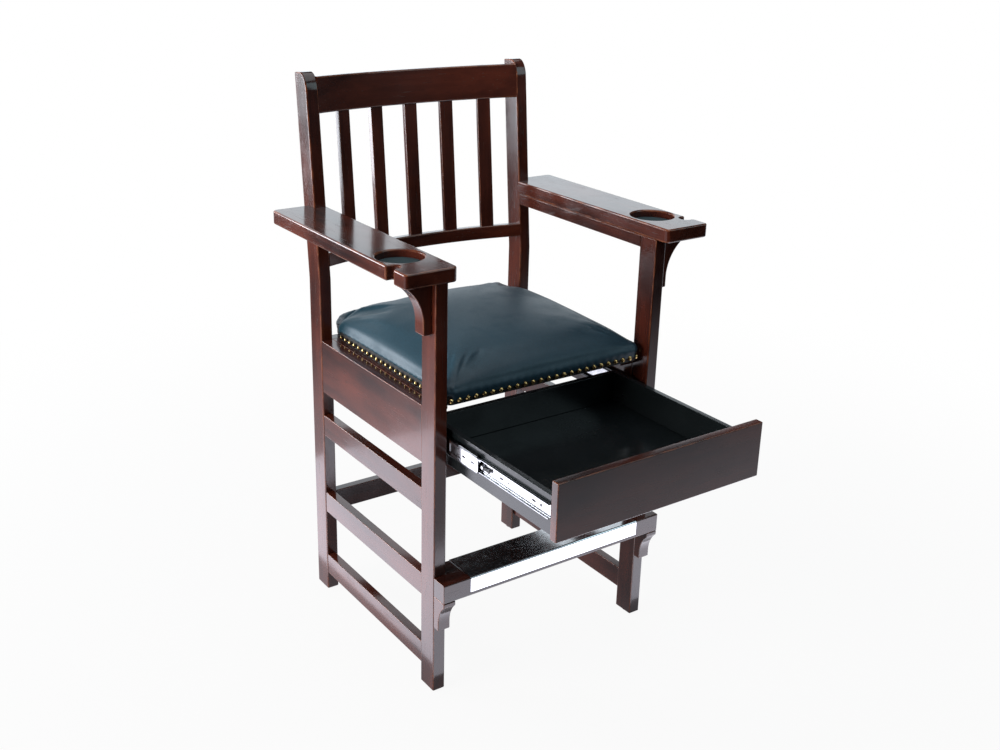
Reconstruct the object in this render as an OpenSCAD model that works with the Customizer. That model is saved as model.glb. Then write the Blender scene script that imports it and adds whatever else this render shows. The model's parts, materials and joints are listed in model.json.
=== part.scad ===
// Spectator chair: a tall wooden armchair with a padded seat, cup recesses and cue notches
// in its arms, a footrest, and a drawer on ball-bearing slides under the seat.
// The chair faces -Y, +Z is up and X = 0 is its middle plane. The sitter's right is -X.
// The origin lies on the floor, in the middle of the box round the chair with its drawer open.

/* [Frame] */
// Width across the outsides of the legs
frame_w = 560; // [500:1:620]
// Depth from the front of the legs to the back of the posts, at the floor
frame_d = 515.4; // [470:1:560]
// Height of the top of the back posts
back_h = 1195; // [1150:1:1260]
// Width of a leg or post, seen from the front
leg_w = 28; // [24:1:34]
// Depth of a front leg
leg_d = 49; // [42:1:56]
// Depth of a back post
post_d = 49.5; // [44:0.5:56]
// Radius of the eased edges of legs and posts
edge_r = 3; // [1.5:0.5:4]
// How far rails lie behind the outer faces of the legs
rail_inset = 1.5; // [0.5:0.5:3]
// Air between pieces that only lie against each other
seat_gap = 0.2; // [0.1:0.1:0.3]

/* [Back] */
// Height at which the back posts bend backwards
bend_h = 760; // [740:1:785]
// Angle at which the back leans
rake = 5.2; // [2:0.2:8]
// Height of the rounded front of a post's top
post_nose_h = 39; // [25:1:50]
// Height of the lower back rail's underside above the bend
low_rail_lift = 29.5; // [28:0.5:50]
// Height of the lower back rail
low_rail_h = 30; // [24:1:44]
// Height of the crest rail
crest_h = 75.5; // [60:0.5:90]
// Distance from the crest rail's top down from the tops of the posts
crest_drop = 10; // [4:1:20]
// Thickness of both back rails
back_rail_t = 22; // [20:0.5:26]
// How far the crest rail's ends lie behind the front of the posts
crest_inset = 2; // [0:0.5:6]
// How far the back rails bow backwards in their middle
back_bow = 50; // [20:1:60]
// Number of slats in the back
slat_count = 5; // [3:1:6]
// Distance from slat to slat
slat_pitch = 89.7; // [70:0.1:90]
// Width of a slat
slat_w = 31; // [20:1:40]
// Thickness of a slat
slat_t = 12; // [8:0.5:13]
// How far the slats lie behind the front of the posts
slat_inset = 5; // [3:0.5:8]

/* [Rails and stretchers] */
// Height of the top of the aprons round the drawer
apron_top = 625; // [600:1:640]
// Height of the aprons
apron_h = 120; // [110:1:135]
// Height of the stretchers
stretcher_h = 49; // [40:1:60]
// Thickness of the stretchers
stretcher_t = 20; // [16:1:25]
// Height of the underside of the upper side stretchers
upper_stretcher_z = 400; // [370:1:430]
// Height of the underside of the middle side stretchers
middle_stretcher_z = 208; // [190:1:240]
// Height of the underside of the lower side stretchers
lower_stretcher_z = 46; // [30:1:80]
// Height of the underside of the back stretcher
back_stretcher_z = 206; // [190:1:240]
// Thickness of the cleats that carry the seat
cleat_h = 20; // [14:1:24]
// Width of the cleats that carry the seat
cleat_w = 32; // [24:1:40]

/* [Arms] */
// Height of the arm tops
arm_h = 919; // [895:1:940]
// Thickness of an arm board
arm_t = 29; // [24:1:34]
// How far an arm board reaches out past the leg
arm_out = 83; // [74:1:95]
// How far an arm board reaches forward of the leg
arm_front = 32.3; // [20:1:45]
// Distance from the back end of an arm board to the back of the post at the floor
arm_rear_inset = 4.7; // [2:0.5:20]
// Radius of the outer front corner of an arm
arm_corner_r = 7; // [4:1:28]
// Radius of the inner front corner and the outer rear corner of an arm
arm_small_r = 10; // [4:1:14]
// Diameter of a cup recess
cup_d = 92; // [76:1:92]
// Depth of a cup recess
cup_depth = 17; // [10:1:20]
// Thickness of the pad in a cup recess
cup_pad_t = 2; // [1:0.5:3]
// Distance of a cup recess's centre from the outside of the leg
cup_out = 28.8; // [27:0.5:32]
// Distance of a cup recess's centre behind the front of the leg
cup_back = 78.5; // [76:1:95]
// Width of a cue notch
cue_w = 24.5; // [18:0.5:26]
// Length of a cue notch, in from the arm's outer edge
cue_len = 22; // [18:0.5:24]
// Distance of a cue notch's middle behind the front of the leg
cue_back = 24.5; // [18:0.5:25]
// Height of the rail under an arm board
arm_rail_h = 25; // [18:1:34]
// Thickness of an arm bracket
bracket_t = 31; // [24:1:36]
// How far an arm bracket lies behind the front of the leg
bracket_inset = 11.7; // [3:0.1:14]
// Height of an arm bracket
bracket_h = 110; // [100:1:130]
// How far an arm bracket stands out at its foot
bracket_foot = 18.5; // [14:0.5:24]
// How far an arm bracket stands out at its top
bracket_top = 60; // [52:1:60]
// Height of the straight foot of an arm bracket
bracket_foot_h = 22; // [12:1:30]
// Height of the straight lip at an arm bracket's top
bracket_lip_h = 11; // [6:1:20]

/* [Seat] */
// Gap between the seat and a leg
seat_side_gap = 9; // [6:0.5:14]
// How far the seat's front lies behind the front of the legs
seat_front_inset = 14.7; // [8:0.5:20]
// Gap between the seat's back and the posts
seat_back_gap = 3; // [1:0.5:8]
// How far the seat reaches back between the posts
seat_reach = 36; // [28:1:44]
// How far each side of the seat steps in where it passes between the posts
seat_notch = 14; // [12:1:24]
// Thickness of the seat board
board_t = 23; // [18:1:28]
// Thickness of the leather and its lining over the board's edge
cover_t = 3; // [2:0.5:4]
// Height of the board's edge that the cover leaves bare
bare_edge_h = 6; // [3:0.5:8]
// Height of the cushion's middle above the board
cushion_h = 64; // [50:1:75]
// Radius of the seat's corners
seat_corner_r = 16; // [10:1:24]
// Height above the board at which the cushion's sides begin to turn in
shoulder_z = 8; // [4:1:16]
// How flat the cushion's crown is: its roundness grows as this falls
crown_p = 2.5; // [2:0.1:4]
// How sharply the cushion's shoulder turns: smaller is sharper
crown_q = 0.38; // [0.3:0.01:0.5]
// How far the cushion's sides swell past the line of nails
side_swell = 2; // [1:0.5:3]
// Diameter of a nail's head
nail_d = 10.5; // [8:0.5:12]
// Height of a nail's head
nail_h = 3.2; // [2:0.1:4]
// Distance from nail to nail
nail_pitch = 19.5; // [16:0.5:24]
// Height of the nails above the apron's top
nail_lift = 9.5; // [9:0.5:12]
// Diameter of the screws that hold the seat
seat_screw_d = 4.5; // [4:0.5:5]

/* [Footrest] */
// Height of the footrest's top
footrest_h = 271.6; // [250:1:300]
// Thickness of the footrest board
footrest_t = 41; // [34:1:48]
// How far the footrest stands forward of the legs
footrest_front = 37.8; // [30:0.1:50]
// Depth of the footrest behind the front of the legs
footrest_back = 42.7; // [30:0.1:48]
// Half width of the steel plate
plate_half_w = 217; // [180:1:240]
// Thickness of the steel plate
plate_t = 1.2; // [0.8:0.1:2]
// How far the steel plate reaches down the front
plate_drop = 32; // [20:1:33]
// Radius of the footrest's front edge under the steel plate
plate_bend_r = 2.5; // [1.5:0.5:4]
// Height of a footrest corbel
corbel_h = 73.5; // [60:0.5:90]
// How far a footrest corbel stands out at its foot
corbel_foot = 17.5; // [12:0.5:22]
// Height of the straight foot of a footrest corbel
corbel_foot_h = 17; // [10:1:24]
// Height of the straight lip at a footrest corbel's top
corbel_lip_h = 9.5; // [5:0.5:14]
// Diameter of a floor glide
glide_d = 22; // [16:1:24]
// Thickness of a floor glide
glide_t = 3; // [2:0.5:5]

/* [Drawer] */
// How far the drawer stands open
drawer_open = 337; // [0:1:380]
// Height of the drawer front
front_h = 114; // [105:1:118]
// Thickness of the drawer front
front_t = 18; // [15:1:22]
// Gap at each side of the drawer front
front_gap = 6; // [4:0.5:7]
// How far the drawer front reaches below the aprons
front_low = 5; // [2:0.5:8]
// Height of the drawer box's sides
box_h = 77; // [66:1:84]
// Height of the drawer box above the drawer front's lower edge
box_lift = 3; // [2:0.5:8]
// Length of the drawer box behind its front
box_len = 407; // [403:1:420]
// Thickness of the drawer box's sides and back
box_t = 12; // [11:0.5:15]
// Thickness of the drawer's bottom
bottom_t = 5; // [4:0.5:8]
// Depth of the grooves that hold the drawer's bottom
groove_d = 5; // [3:0.5:6]
// Height of the drawer's bottom above the lower edge of the box
bottom_lift = 6; // [5:0.5:10]

/* [Slides] */
// Length of the fixed member and the drawer member
slide_len = 400; // [390:1:402]
// How far the middle member's front lies behind the others with the drawer shut
middle_inset = 44; // [20:1:60]
// How far the slides' front lies behind the drawer front with the drawer shut
slide_front_gap = 7; // [3:0.5:10]
// Thickness of a whole slide, which is the gap between leg and drawer side
slide_t = 12.7; // [12.7:0.1:13]
// Height of the fixed member
outer_h = 45.6; // [45:0.2:48]
// Height of the middle member
middle_h = 36.8; // [36:0.2:37.4]
// Height of the drawer member
inner_h = 28; // [27:0.2:28.4]
// Thickness of the steel of the members
steel_t = 1.2; // [1:0.1:1.3]
// Height of the slides' middle above the lower edge of the aprons
slide_lift = 45; // [40:1:48]
// Diameter of a ball
ball_d = 2.6; // [2.2:0.1:2.6]
// Number of balls in a row
ball_count = 8; // [5:1:9]
// Distance from ball to ball
ball_pitch = 10; // [8:0.5:10]
// Thickness of a ball retainer
cage_t = 0.6; // [0.5:0.1:0.7]
// Diameter of the slides' screws
screw_d = 3.5; // [3:0.1:4]
// Diameter of the slides' screw heads
screw_head_d = 7; // [6:0.2:8]
// Length of the slides' screws in the wood
screw_len = 10; // [8:0.5:11]

/* [Hidden] */

right = -1;
left = 1;
eps = 0.01;
over = 1;
$fn = 48;

leg_out = frame_w / 2;
leg_in = leg_out - leg_w;
leg_front = -frame_d / 2;
leg_rear = leg_front + leg_d;
post_rear = frame_d / 2;
post_front = post_rear - post_d;
rail_out = leg_out - rail_inset;
apron_t = rail_out - leg_in;
apron_z = apron_top - apron_h;

// The raked frame starts at the front of the posts at the bend, and its Z runs up the posts.
nose_half = post_d / 2;
post_len = (back_h - bend_h + nose_half * sin(rake)) / cos(rake);
crest_top = post_len - crest_drop;
crest_z = crest_top - crest_h;
low_rail_z = low_rail_lift;
bow_r = (leg_in * leg_in + back_bow * back_bow) / (2 * back_bow);
bow_facets = 360;

arm_under = arm_h - arm_t;
arm_out_x = leg_out + arm_out;
arm_front_y = leg_front - arm_front;
arm_rear_y = post_rear - arm_rear_inset;
cup_x = leg_out + cup_out;
cup_y = leg_front + cup_back;
cue_y = leg_front + cue_back;

// Room between the board's edge and the skirt of the cushion, whose corners are faceted.
skirt_gap = 0.6;
seat_half_w = leg_in - seat_side_gap;
seat_front_y = leg_front + seat_front_inset;
seat_rear_y = post_front - seat_back_gap;
seat_mid_y = (seat_front_y + seat_rear_y) / 2;
seat_half_d = (seat_rear_y - seat_front_y) / 2;
seat_tail_y = post_front + seat_reach;
seat_tail_w = seat_half_w - seat_notch;
tail_corner_r = 10;
notch_inner_r = 4;
notch_outer_r = seat_notch - notch_inner_r - 1;
cushion_mid_y = (seat_front_y + seat_tail_y) / 2;
cushion_half_d = (seat_tail_y - seat_front_y) / 2;
board_z = apron_top;
board_top = board_z + board_t;
cover_z = board_z + bare_edge_h;
nail_z = apron_top + nail_lift;
cleat_z = apron_top - cleat_h;
cleat_front = leg_rear + seat_gap;
cleat_in = leg_in - cleat_w;
seat_screw_x = leg_in - cleat_w / 2;
seat_screw_ys = [for (k = [-1, 0, 1]) seat_mid_y + k * seat_half_d * 0.7];

footrest_front_y = leg_front - footrest_front;
footrest_rear_y = leg_front + footrest_back;
footrest_board_top = footrest_h - plate_t;
footrest_z = footrest_board_top - footrest_t;

// With the drawer shut its front is flush with the legs.
front_half_w = leg_in - front_gap;
front_z = apron_z - front_low;
front_back_y = leg_front + front_t;
box_out = leg_in - slide_t;
box_z = front_z + box_lift;
box_rear_y = front_back_y + box_len;
bottom_z = box_z + bottom_lift;
bottom_half_w = box_out - box_t + groove_d - seat_gap;

slide_z = apron_z + slide_lift;
slide_front_y = front_back_y + slide_front_gap;
slide_rear_y = slide_front_y + slide_len;
middle_front_y = slide_front_y + middle_inset;
// Distances across a slide, from the face of the leg towards the drawer.
screw_head_t = 1.2;
cage_outer_at = steel_t + screw_head_t + 0.2;
middle_at = cage_outer_at + cage_t + 0.4;
cage_inner_at = middle_at + steel_t + 0.3;
inner_tip_at = cage_inner_at + cage_t + 0.4;
inner_web_at = slide_t - steel_t;
outer_tip_at = 9.4;
middle_tip_at = 10.9;
outer_ball_at = 6;
inner_ball_at = 8.4;
outer_ball_z = (outer_h / 2 - steel_t + middle_h / 2) / 2;
inner_ball_z = (middle_h / 2 - steel_t + inner_h / 2) / 2;
cage_len = (ball_count - 1) * ball_pitch + 10;
// The retainers sit so that both members still cover them with the drawer right out.
cage_outer_y = slide_front_y + slide_len * 0.48;
cage_inner_y = slide_front_y + slide_len * 0.56;
ball_hole_d = ball_d + 0.4;
outer_screw_at = [for (k = [0 : 3]) 32 + k * (slide_len - 64) / 3];
inner_hole_pitch = 98;
inner_round_at = [for (k = [0 : 3]) 28 + k * inner_hole_pitch];
inner_slot_at = [for (k = [0 : 3]) 48 + k * inner_hole_pitch];
drawer_screw_at = [inner_round_at[0], inner_round_at[2], inner_round_at[3]];
hole_d = screw_d + 1;
pilot_d = screw_d + 2 * seat_gap;
window_y0 = 58;
window_y1 = 96;
window_h = 18;
latch_at = 203;
latch_len = 25;
latch_pin_d = 4;
latch_play = 0.1;
latch_t = 2.2;
latch_from = inner_tip_at + 0.9;

// The middle of the box round the chair lies halfway between the open drawer's front and the
// back of the crest rail's bow.
crest_back_local = crest_inset + back_bow + back_rail_t;
crest_back_y = post_front + crest_back_local * cos(rake) + crest_top * sin(rake);
front_most_y = min(leg_front - drawer_open, footrest_front_y - plate_t);
origin_y = (front_most_y + crest_back_y) / 2;

wood_side = "#6b3f33";
wood_front = "#3a2320";
wood_top = "#7a5a56";
leather = "#3c4b5a";
brass = "#c9a24a";
steel = "#c9ccd0";
zinc = "#b9bec4";
black = "#1c1c1e";
box_colour = "#2b3036";

// A piece is drawn on the sitter's left, from the chair's middle, and mirrored for the right.
module place(side = left) {
    translate([0, -origin_y, 0])
        mirror([side == right ? 1 : 0, 0, 0])
            children();
}

module raked() {
    translate([0, post_front, bend_h])
        rotate([-rake, 0, 0])
            children();
}

module block(x0, x1, y0, y1, z0, z1) {
    translate([x0, y0, z0])
        cube([x1 - x0, y1 - y0, z1 - z0]);
}

// Rectangle whose corners are true arcs.
module round_rect(x0, x1, y0, y1, r) {
    translate([x0 + r, y0])
        square([x1 - x0 - 2 * r, y1 - y0]);
    translate([x0, y0 + r])
        square([x1 - x0, y1 - y0 - 2 * r]);
    for (x = [x0 + r, x1 - r], y = [y0 + r, y1 - r])
        translate([x, y])
            circle(r);
}

// Rectangle whose corners are three flats along an arc, for the lengths of a post that bends.
module flat_corner_rect(x0, x1, y0, y1, r) {
    centres = [[x1 - r, y1 - r], [x0 + r, y1 - r], [x0 + r, y0 + r], [x1 - r, y0 + r]];
    polygon([
        for (k = [0 : 3], flat = [0 : 3])
            let (a = 90 * k + 30 * flat)
                centres[k] + r * [cos(a), sin(a)]
    ]);
}

// A flat shape in X and Z, carried along Y.
module along_y(y0, y1) {
    translate([0, y1, 0])
        rotate([90, 0, 0])
            linear_extrude(y1 - y0)
                children();
}

// A flat shape in Y and Z, carried along X.
module along_x(x0, x1) {
    translate([x0, 0, 0])
        rotate([90, 0, 90])
            linear_extrude(x1 - x0)
                children();
}

module front_leg(side) {
    color(wood_side)
        place(side)
            translate([0, 0, glide_t])
                linear_extrude(arm_under - glide_t)
                    round_rect(leg_in, leg_out, leg_front, leg_rear, edge_r);
}

// Front corner that is cut off a post's top, outside a quarter of an ellipse.
module post_nose() {
    steps = 14;
    nose = [
        for (k = [0 : steps])
            let (a = 90 * k / steps)
                [nose_half * (1 - cos(a)), post_len - post_nose_h * (1 - sin(a))]
    ];
    along_x(leg_in - over, leg_out + over)
        polygon(concat([[-over, post_len - post_nose_h]], nose,
            [[nose_half, post_len + over], [-over, post_len + over]]));
}

module raked_post(len, gap = 0, from = 0) {
    translate([0, 0, from])
        linear_extrude(len - from)
            flat_corner_rect(leg_in - gap, leg_out + gap, -gap, post_d + gap, edge_r + gap);
}

// Everything above the plane in which the two straight lengths of a post meet.
module above_mitre() {
    translate([0, post_front, bend_h])
        rotate([-rake / 2, 0, 0])
            translate([leg_in - over, -post_d, 0])
                cube([leg_w + 2 * over, 4 * post_d, back_h]);
}

module rear_post(side) {
    color(wood_side)
        place(side)
            union() {
                difference() {
                    translate([0, 0, glide_t])
                        linear_extrude(bend_h)
                            flat_corner_rect(leg_in, leg_out, post_front, post_rear, edge_r);
                    above_mitre();
                }
                intersection() {
                    raked()
                        difference() {
                            raked_post(post_len, from = -post_d);
                            post_nose();
                        }
                    above_mitre();
                }
            }
}

module side_apron(side) {
    color(wood_side)
        place(side)
            difference() {
                block(leg_in, rail_out, leg_rear, post_front, apron_z, apron_top);
                for (at = outer_screw_at)
                    translate([leg_in - over, slide_front_y + at, slide_z])
                        rotate([0, 90, 0])
                            cylinder(d = pilot_d, h = screw_len + over);
            }
}

module back_apron() {
    color(wood_front)
        place()
            block(-leg_in, leg_in, post_front, post_front + apron_t, apron_z, apron_top);
}

module seat_cleat(side) {
    color(wood_side)
        place(side)
            difference() {
                block(cleat_in, leg_in, cleat_front, post_front - seat_gap, cleat_z, apron_top);
                for (y = seat_screw_ys)
                    translate([seat_screw_x, y, cleat_z - over])
                        cylinder(d = seat_screw_d + 2 * seat_gap, h = cleat_h + 2 * over);
            }
}

module side_stretcher(side, z) {
    color(wood_side)
        place(side)
            block(rail_out - stretcher_t, rail_out, leg_rear, post_front, z, z + stretcher_h);
}

module back_stretcher() {
    color(wood_front)
        place()
            block(-leg_in, leg_in, post_front, post_front + stretcher_t,
                back_stretcher_z, back_stretcher_z + stretcher_h);
}

// Bowed rail between the posts: its front face starts at the given depth at both ends.
module bowed_rail(depth, z0, h) {
    translate([0, 0, z0])
        linear_extrude(h)
            intersection() {
                translate([0, depth + back_bow - bow_r])
                    difference() {
                        circle(bow_r + back_rail_t, $fn = bow_facets);
                        circle(bow_r, $fn = bow_facets);
                    }
                translate([-leg_in, depth - over])
                    square([2 * leg_in, back_bow + back_rail_t + 2 * over]);
            }
}

module crest_rail() {
    color(wood_front)
        place()
            raked()
                bowed_rail(crest_inset, crest_z, crest_h);
}

module lower_back_rail() {
    color(wood_front)
        place()
            raked()
                bowed_rail(0, low_rail_z, low_rail_h);
}

// Slats stand on the rails' bow, each turned to face along its radius.
module back_slat(number) {
    x = (number - (slat_count + 1) / 2) * slat_pitch;
    turn = asin(x / bow_r);
    color(wood_front)
        place()
            raked()
                translate([0, slat_inset + back_bow - bow_r, low_rail_z + low_rail_h])
                    rotate([0, 0, -turn])
                        translate([-slat_w / 2, bow_r, 0])
                            cube([slat_w, slat_t, crest_z - low_rail_z - low_rail_h]);
}

// What is cut off a corner of a flat shape to round it: x_way and y_way point into the shape.
module corner_waste(x, y, x_way, y_way, r) {
    translate([x, y])
        scale([x_way, y_way])
            difference() {
                translate([-over, -over])
                    square(r + over);
                translate([r, r])
                    circle(r);
            }
}

// Top view of an arm, with its rounded corners and the notch in its outer edge.
module arm_outline() {
    difference() {
        translate([leg_in, arm_front_y])
            square([arm_out_x - leg_in, arm_rear_y - arm_front_y]);
        corner_waste(leg_in, arm_front_y, 1, 1, arm_small_r);
        corner_waste(arm_out_x, arm_front_y, -1, 1, arm_corner_r);
        corner_waste(arm_out_x, arm_rear_y, -1, -1, arm_small_r);
        translate([arm_out_x - cue_len + cue_w / 2, cue_y])
            circle(d = cue_w);
        translate([arm_out_x - cue_len + cue_w / 2, cue_y - cue_w / 2])
            square([cue_len, cue_w]);
    }
}

module arm_board(side) {
    color(wood_top)
        place(side)
            difference() {
                translate([0, 0, arm_under])
                    linear_extrude(arm_t)
                        arm_outline();
                translate([cup_x, cup_y, arm_h - cup_depth])
                    cylinder(d = cup_d, h = cup_depth + over, $fn = 96);
                raked()
                    raked_post(post_len, seat_gap);
                block(leg_in - over, leg_out - edge_r, post_front + post_d / 2, post_rear + post_d,
                    arm_under - over, arm_h + over);
            }
}

module cup_pad(side) {
    color(black)
        place(side)
            translate([cup_x, cup_y, arm_h - cup_depth])
                cylinder(d = cup_d - 4 * seat_gap, h = cup_pad_t, $fn = 96);
}

module arm_rail(side) {
    color(wood_side)
        place(side)
            difference() {
                block(leg_in, rail_out, leg_rear, post_rear, arm_under - arm_rail_h, arm_under);
                raked()
                    translate([leg_in - over, -seat_gap, 0])
                        cube([leg_w + 2 * over, 2 * post_d, post_len]);
            }
}

// Bracket in one plane: foot, concave arc that starts upright, and a straight lip at the top.
module bracket_shape(foot, top, foot_h, lip_h, h) {
    rise = h - foot_h - lip_h;
    reach = top - foot;
    arc_r = (reach * reach + rise * rise) / (2 * reach);
    difference() {
        square([top, h]);
        translate([foot, -over])
            square([top, foot_h + over]);
        intersection() {
            translate([foot + arc_r, foot_h])
                circle(arc_r, $fn = 180);
            translate([foot, foot_h - over])
                square([reach + over, rise + over]);
        }
    }
}

module arm_bracket(side) {
    y0 = leg_front + bracket_inset;
    color(wood_front)
        place(side)
            translate([leg_out, 0, arm_under - bracket_h])
                along_y(y0, y0 + bracket_t)
                    bracket_shape(bracket_foot, bracket_top, bracket_foot_h, bracket_lip_h,
                        bracket_h);
}

module seat_board() {
    half_w = seat_half_w - cover_t;
    tail_w = seat_tail_w - cover_t;
    color(black)
        place()
            difference() {
                translate([0, 0, board_z])
                    linear_extrude(board_t) {
                        round_rect(-half_w, half_w, seat_front_y + cover_t, seat_rear_y - cover_t,
                            seat_corner_r - cover_t);
                        round_rect(-tail_w, tail_w, seat_mid_y, seat_tail_y - cover_t,
                            tail_corner_r - cover_t);
                    }
                for (x = [-seat_screw_x, seat_screw_x], y = seat_screw_ys)
                    translate([x, y, board_z - over])
                        cylinder(d = seat_screw_d + 2 * seat_gap, h = board_t * 0.6 + over);
            }
}

// The cushion is a stack of rings from the inside of its skirt, round the board's edge and up
// to the middle of the crown. A ring at full scale is the outline of the seat, with its notches
// beside the posts, and the rings turn into ellipses towards the crown. A point of the outline
// is given by its place and the way out of the seat there.
function arc_points(x, y, r, from, to, steps) = [
    for (k = [0 : steps])
        let (a = from + (to - from) * k / steps)
            [x + r * cos(a), y + r * sin(a), cos(a), sin(a)]
];
side_from_y = seat_front_y + seat_corner_r;
side_to_y = seat_rear_y - notch_outer_r;
half_outline = concat(
    [for (k = [0 : 2]) [(seat_half_w - seat_corner_r) * k / 3, seat_front_y, 0, -1]],
    arc_points(seat_half_w - seat_corner_r, side_from_y, seat_corner_r, -90, 0, 4),
    [for (k = [1 : 4]) [seat_half_w, side_from_y + (side_to_y - side_from_y) * k / 5, 1, 0]],
    arc_points(seat_half_w - notch_outer_r, side_to_y, notch_outer_r, 0, 90, 3),
    arc_points(seat_tail_w + notch_inner_r, seat_rear_y + notch_inner_r, -notch_inner_r, 90, 0, 2),
    arc_points(seat_tail_w - tail_corner_r, seat_tail_y - tail_corner_r, tail_corner_r, 0, 90, 3),
    [for (k = [1 : 3]) [(seat_tail_w - tail_corner_r) * (1 - k / 3), seat_tail_y, 0, 1]]
);
full_ring = concat(
    half_outline,
    [
        for (k = [len(half_outline) - 2 : -1 : 1])
            let (p = half_outline[k])
                [-p[0], p[1], -p[2], p[3]]
    ]
);
ring_size = len(full_ring);

function ring(grow, scale, z) = [
    for (p = full_ring)
        let (
            x = p[0] + grow * p[2],
            y = p[1] + grow * p[3] - cushion_mid_y,
            a = atan2(y / cushion_half_d, x / seat_half_w),
            w = scale * scale
        )
        [
            scale * (w * x + (1 - w) * (seat_half_w + grow) * cos(a)),
            scale * (w * y + (1 - w) * (cushion_half_d + grow) * sin(a)),
            z
        ]
];

skirt_in = -cover_t + skirt_gap;
cushion_side_z = board_top + shoulder_z;
// The side stands upright behind the nails' heads and swells out above them.
band_top = nail_z + nail_d / 2 + 1;
cushion_rise = cushion_h - shoulder_z;
side_steps_up = 4;
crown_steps = 15;
cushion_rings = concat(
    [ring(skirt_in, 1, board_top + seat_gap), ring(skirt_in, 1, cover_z), ring(0, 1, cover_z)],
    [
        for (k = [0 : side_steps_up])
            ring(side_swell * sin(90 * k / side_steps_up), 1,
                band_top + (cushion_side_z - band_top) * k / side_steps_up)
    ],
    [
        for (k = [1 : crown_steps])
            let (s = cos(86 * k / crown_steps))
                ring(side_swell, s, cushion_side_z + cushion_rise * pow(1 - pow(s, crown_p), crown_q))
    ]
);

module seat_cushion() {
    count = len(cushion_rings);
    walls = [
        for (j = [0 : count - 2], k = [0 : ring_size - 1])
            let (a = j * ring_size + k, b = j * ring_size + (k + 1) % ring_size)
                each [[a, a + ring_size, b], [b, a + ring_size, b + ring_size]]
    ];
    last = (count - 1) * ring_size;
    middle = count * ring_size;
    under = [for (k = [0 : ring_size - 1]) [middle, k, (k + 1) % ring_size]];
    crown = [for (k = [0 : ring_size - 1]) [middle + 1, last + (k + 1) % ring_size, last + k]];
    points = concat(
        [for (r = cushion_rings) each r],
        [[0, 0, board_top + seat_gap], [0, 0, board_top + cushion_h]]
    );
    color(leather)
        place()
            translate([0, cushion_mid_y, 0])
                polyhedron(points, concat(walls, under, crown));
}

// Domed head of a nail that points along +X from its seat.
module nail_head() {
    ball_r = (nail_d * nail_d / 4 + nail_h * nail_h) / (2 * nail_h);
    rotate([0, 90, 0])
        rotate_extrude($fn = 32)
            intersection() {
                translate([0, nail_h - ball_r])
                    circle(ball_r, $fn = 96);
                square([nail_d, nail_h]);
            }
}

// Place and heading of a point on the seat's rim, at a distance from the middle of its front.
function rim_point(s, off) =
    let (
        r = seat_corner_r + off,
        flat = seat_half_w - seat_corner_r,
        arc = seat_corner_r * PI / 2,
        d = abs(s),
        a = 90 * min(max((d - flat) / arc, 0), 1),
        x = min(d, flat) + r * sin(a),
        y = seat_corner_r - r * cos(a) + max(d - flat - arc, 0)
    )
    [sign(s) * x, seat_front_y + y, a];

module seat_nails() {
    off = seat_gap;
    last = seat_half_w - seat_corner_r + seat_corner_r * PI / 2 + 2 * (seat_half_d - seat_corner_r);
    count = floor(last / nail_pitch);
    color(brass)
        place()
            for (k = [-count : count])
                let (p = rim_point(k * nail_pitch, off))
                    translate([p[0], p[1], nail_z])
                        rotate([0, 0, k < 0 ? -90 - p[2] : p[2] - 90])
                            nail_head();
}

module seat_screws() {
    head_d = 2 * seat_screw_d;
    color(zinc)
        place()
            for (x = [-seat_screw_x, seat_screw_x], y = seat_screw_ys)
                translate([x, y, cleat_z]) {
                    translate([0, 0, -2.5])
                        cylinder(d = head_d, h = 2.5);
                    cylinder(d = seat_screw_d, h = cleat_h + board_t * 0.5);
                }
}

module footrest_board() {
    r = plate_bend_r;
    color(wood_side)
        place()
            union() {
                intersection() {
                    block(-leg_out, leg_out, footrest_front_y, leg_front, footrest_z,
                        footrest_board_top);
                    along_x(-leg_out, leg_out)
                        round_rect(footrest_front_y, leg_front + footrest_front, footrest_z,
                            footrest_board_top, r);
                }
                block(-leg_in, leg_in, leg_front, footrest_rear_y, footrest_z, footrest_board_top);
            }
}

// Steel angle over the footrest's top and down its front.
module footrest_plate() {
    r = plate_bend_r;
    z1 = footrest_board_top;
    y0 = footrest_front_y;
    color(steel)
        place()
            along_x(-plate_half_w, plate_half_w) {
                translate([y0 + r, z1])
                    square([footrest_rear_y - y0 - r, plate_t]);
                translate([y0 - plate_t, z1 - plate_drop])
                    square([plate_t, plate_drop - r]);
                translate([y0 + r, z1 - r])
                    intersection() {
                        difference() {
                            circle(r + plate_t);
                            circle(r);
                        }
                        translate([-r - plate_t, 0])
                            square(r + plate_t);
                    }
            }
}

module footrest_corbel(side) {
    color(wood_front)
        place(side)
            translate([0, leg_front, footrest_z - corbel_h])
                mirror([0, 1, 0])
                    along_x(leg_in, leg_out)
                        bracket_shape(corbel_foot, footrest_front, corbel_foot_h, corbel_lip_h,
                            corbel_h);
}

module floor_glides() {
    color(black)
        place()
            for (x = [-1, 1], y = [(leg_front + leg_rear) / 2, (post_front + post_rear) / 2])
                translate([x * (leg_in + leg_w / 2), y, 0])
                    cylinder(d = glide_d, h = glide_t);
}

module drawer_front() {
    color(wood_front)
        place()
            translate([0, -drawer_open, 0])
                block(-front_half_w, front_half_w, leg_front, front_back_y, front_z,
                    front_z + front_h);
}

module drawer_side(side) {
    color(box_colour)
        place(side)
            translate([0, -drawer_open, 0])
                difference() {
                    block(box_out - box_t, box_out, front_back_y, box_rear_y, box_z,
                        box_z + box_h);
                    block(box_out - box_t - over, box_out - box_t + groove_d,
                        front_back_y - over, box_rear_y + over, bottom_z - seat_gap,
                        bottom_z + bottom_t + seat_gap);
                    for (at = drawer_screw_at)
                        translate([box_out + over, slide_front_y + at, slide_z])
                            rotate([0, -90, 0])
                                cylinder(d = pilot_d, h = screw_len + over);
                }
}

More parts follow.
